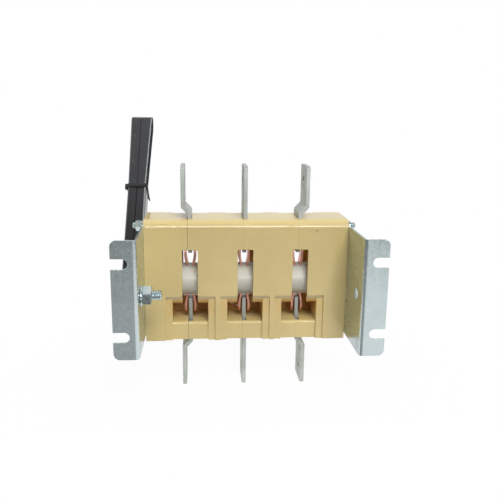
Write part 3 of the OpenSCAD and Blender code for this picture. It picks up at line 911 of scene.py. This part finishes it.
class SWITCH_OT_tie(bpy.types.Operator):
    """Makes the cable tie: a strap with rounded corners, its head and its cut tail."""

    bl_idname = "switch_looks.tie"
    bl_label = "Cable tie"

    def execute(self, context):
        look = context.scene.switch_tie
        lean = context.scene.switch_grip.lean
        material = tie_finish(look)
        low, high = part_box("cable_tie")
        left, right = low.x + look.head, high.x - look.thickness
        seat(self.make_loop(look, left, right, lean, material), ROTOR_BODY, "cable_tie", "cable_tie")
        seat(self.make_head(look, left, lean, material), ROTOR_BODY, "cable_tie")
        seat(self.make_tail(look, right, lean, material), ROTOR_BODY, "cable_tie")
        return {"FINISHED"}

    def make_loop(self, look, left, right, lean, material):
        """Strap section swept round a rectangle whose corners are quarter circles."""
        steps, bend = 9, 1.2 * MM
        turn = np.radians(np.concatenate([np.linspace(0, 90, steps) + 90 * corner for corner in range(4)]))
        quarter = np.repeat(np.arange(4), steps)
        side_x = np.where((quarter == 0) | (quarter == 3), right - bend, left + bend)
        side_across = np.where(quarter < 2, 1, -1) * (look.grip / 2 - bend)
        off, wide = strap_section(look.width, look.thickness)
        reach = bend + look.thickness / 2 + off
        x = side_x[:, None] + np.cos(turn)[:, None] * reach
        across = side_across[:, None] + np.sin(turn)[:, None] * reach
        points = handle_points(x, across, look.place + wide, lean)
        return grid_piece("cable_tie_strap", points, material, wrap_rows=True)

    def make_head(self, look, left, lean, material):
        """Box with soft edges: a sphere whose coordinates are raised to a low power."""
        squareness, inset = 0.3, 0.98
        half_across, half_along = 2.6 * MM, 0.62 * look.width
        rise, turn = np.meshgrid(np.linspace(-math.pi / 2, math.pi / 2, 25), angles(48), indexing="ij")
        ball = [np.cos(rise) * np.cos(turn), np.cos(rise) * np.sin(turn), np.sin(rise)]
        block = [np.sign(c) * np.abs(c) ** squareness for c in ball]
        x = left - look.head / 2 * (1 + inset * block[0])
        across = -look.grip / 2 + half_across * (1 + block[1])
        points = handle_points(x, across, look.place + half_along * block[2], lean)
        return grid_piece("cable_tie_head", points, material)

    def make_tail(self, look, right, lean, material):
        """Cut end of the strap, which leaves the loop at the lever and springs away along the handle."""
        start, length, spring, curl = 1.5 * MM, 17 * MM, 3.2 * MM, 1.4
        width, from_edge = 0.8 * look.width, 2.2 * MM
        place = np.linspace(0, 1, 24)
        x = right + look.thickness * 0.5 + spring * place ** curl
        along = look.place - start - length * place
        off, wide = strap_section(width, look.thickness)
        across = -look.grip / 2 + from_edge + wide
        points = handle_points(x[:, None] + off, across, along[:, None], lean)
        return grid_piece("cable_tie_tail", points, material, capped=True)


class SWITCH_OT_stage(bpy.types.Operator):
    """Makes the floor, the lamps, the surroundings and the camera at the photograph's angle."""

    bl_idname = "switch_looks.stage"
    bl_label = "Stage"

    def execute(self, context):
        scene = context.scene
        stage = scene.switch_stage
        scene.view_settings.view_transform = "Standard"
        self.make_floor(CAD_BOX[0][2] - stage.floor_gap, stage.shadow)
        self.make_surroundings(scene, stage.sky, stage.back)
        for name, place, size, power in (("Key lamp", KEY_PLACE, KEY_SIZE, stage.key),
                                         ("Top lamp", TOP_PLACE, TOP_SIZE, stage.top)):
            self.make_lamp(scene, name, place, LAMP_TARGET, size, size, power).visible_glossy = False
        strip = self.make_lamp(scene, "Strip lamp", STRIP_PLACE, STRIP_TARGET, STRIP_WIDTH, STRIP_HEIGHT,
                               stage.strip)
        strip.visible_diffuse = False
        self.make_camera(scene)
        return {"FINISHED"}

    def make_floor(self, level, shadow):
        """Flat white sheet from the mounting plane backwards, with a faint shadow near the object."""
        left, right, near, far = -3.0, 3.2, -0.02, 4.0
        x, y = np.meshgrid(np.linspace(left, right, 32), np.linspace(near, far, 24), indexing="ij")
        under, pale_grey = (0.11, 0.1, level), (0.85, 0.85, 0.85, 1.0)
        finish = Finish("White floor")
        camera, glossy, transmission = finish.root.rays()
        distance = finish.root.node("ShaderNodeVectorMath", {"operation": "DISTANCE"},
                                    {0: finish.place, 1: under}, "Value")
        glow = (camera | glossy | transmission) * (1.0 - (1.0 - distance.step(0.1, 0.3)) * shadow)
        matt = finish.root.node("ShaderNodeBsdfDiffuse", {}, {"Color": pale_grey})
        white = finish.root.node("ShaderNodeEmission", {}, {"Color": WHITE, "Strength": 1.0})
        material = finish.surface(glow.blend(matt, white))
        points = np.stack([x, y, np.full_like(x, level)], axis=-1)
        grid_piece("floor", points, material, wrap_columns=False)

    def make_surroundings(self, scene, sky, back):
        """Soft light from all round, stronger from behind; the camera sees white, and mirrors see a studio.

        The studio is white behind the object and overhead, bright at the front right, dim at the front left
        and dark underneath.
        """
        world = bpy.data.worlds.new("Studio")
        scene.world = world
        world.use_nodes = True
        tree = world.node_tree
        tree.nodes.clear()
        root = Signal(tree)
        camera, glossy, transmission = root.rays()
        x, y, z = root.node("ShaderNodeTexCoord", {}, {}, "Generated").axes()
        left_to_right = 0.36 + 0.66 * x.step(-0.1, 0.1)
        front = left_to_right * (0.1 + 0.92 * z.step(-0.13, -0.3)) * z.step(-0.58, -0.41)
        overhead = z.step(0.15, 0.6) * (0.45 + 0.65 * y.step(-0.25, -0.02))
        behind = y.step(-0.1, 0.15) * z.step(-0.7, -0.35) * (1.0 - 0.15 * z.step(0.02, 0.14))
        level = front | overhead | behind
        full, faint = 1.0, 0.06
        white, dark, even, rear = (
            root.node("ShaderNodeBackground", {}, {"Color": WHITE, "Strength": strength})
            for strength in (full, faint, sky, back))
        light = y.step(0.0, 0.6).blend(even, rear)
        studio = (glossy | transmission).blend(light, level.blend(dark, white))
        root.node("ShaderNodeOutputWorld", {}, {"Surface": camera.blend(studio, white)})

    def make_lamp(self, scene, name, place, target, width, height, power):
        """Rectangular lamp that looks at a target."""
        lamp = bpy.data.lights.new(name, "AREA")
        lamp.shape = "RECTANGLE"
        lamp.size = width
        lamp.size_y = height
        lamp.energy = power
        holder = bpy.data.objects.new(name, lamp)
        holder.location = place
        holder.rotation_euler = (Vector(target) - Vector(place)).to_track_quat("-Z", "Y").to_euler()
        scene.collection.objects.link(holder)
        return holder

    def make_camera(self, scene):
        """Camera turned by yaw and pitch, then rolled, with the photograph's focal length in pixels."""
        yaw, pitch, roll = (math.radians(a) for a in (CAMERA_YAW, CAMERA_PITCH, CAMERA_ROLL))
        run, drop = math.cos(pitch), -math.sin(pitch)
        forward = Vector((math.sin(yaw) * run, math.cos(yaw) * run, drop))
        level = Vector((math.cos(yaw), -math.sin(yaw), 0.0))
        upright = level.cross(forward)
        right = level * math.cos(roll) + upright * math.sin(roll)
        up = upright * math.cos(roll) - level * math.sin(roll)
        lens = bpy.data.cameras.new("Photo camera")
        lens.sensor_width = SENSOR_MM
        lens.lens = FOCAL_PIXELS * SENSOR_MM / PHOTO_SIDE
        lens.shift_x = SHIFT_X_PIXELS / PHOTO_SIDE
        lens.shift_y = SHIFT_Y_PIXELS / PHOTO_SIDE
        lens.clip_start = 10 * MM
        camera = bpy.data.objects.new("Photo camera", lens)
        turn = Matrix((right, up, -forward)).transposed()
        camera.matrix_world = Matrix.Translation(CAMERA_PLACE) @ turn.to_4x4()
        scene.collection.objects.link(camera)
        scene.camera = camera


class SWITCH_PT_looks(bpy.types.Panel):
    """Lists the steps and their sizes and colours."""

    bl_idname = "SWITCH_PT_looks"
    bl_label = "Switch disconnector"
    bl_space_type = "VIEW_3D"
    bl_region_type = "UI"
    bl_category = "Switch"

    def draw(self, context):
        for step, (name, _) in STEPS.items():
            box = self.layout.box()
            box.operator(step.bl_idname)
            settings = getattr(context.scene, name)
            for key in type(settings).__annotations__:
                box.prop(settings, key)


STEPS = {
    SWITCH_OT_housing: ("switch_housing", HousingLook),
    SWITCH_OT_brackets: ("switch_brackets", BracketLook),
    SWITCH_OT_terminals: ("switch_terminals", TerminalLook),
    SWITCH_OT_blades: ("switch_blades", BladeLook),
    SWITCH_OT_shaft: ("switch_shaft", ShaftLook),
    SWITCH_OT_fasteners: ("switch_fasteners", FastenerLook),
    SWITCH_OT_grip: ("switch_grip", GripLook),
    SWITCH_OT_tie: ("switch_tie", TieLook),
    SWITCH_OT_stage: ("switch_stage", StageSettings),
}
CLASSES = (*(group for _, group in STEPS.values()), *STEPS, SWITCH_PT_looks)


def register():
    for cls in CLASSES:
        bpy.utils.register_class(cls)
    for name, group in STEPS.values():
        setattr(bpy.types.Scene, name, PointerProperty(type=group))


def unregister():
    for name, _ in STEPS.values():
        delattr(bpy.types.Scene, name)
    for cls in reversed(CLASSES):
        bpy.utils.unregister_class(cls)


def main():
    register()
    bpy.ops.switch_looks.housing()
    bpy.ops.switch_looks.brackets()
    bpy.ops.switch_looks.terminals()
    bpy.ops.switch_looks.blades()
    bpy.ops.switch_looks.shaft()
    bpy.ops.switch_looks.fasteners()
    bpy.ops.switch_looks.grip()
    bpy.ops.switch_looks.tie()
    bpy.ops.switch_looks.stage()


if __name__ == "__main__":
    main()
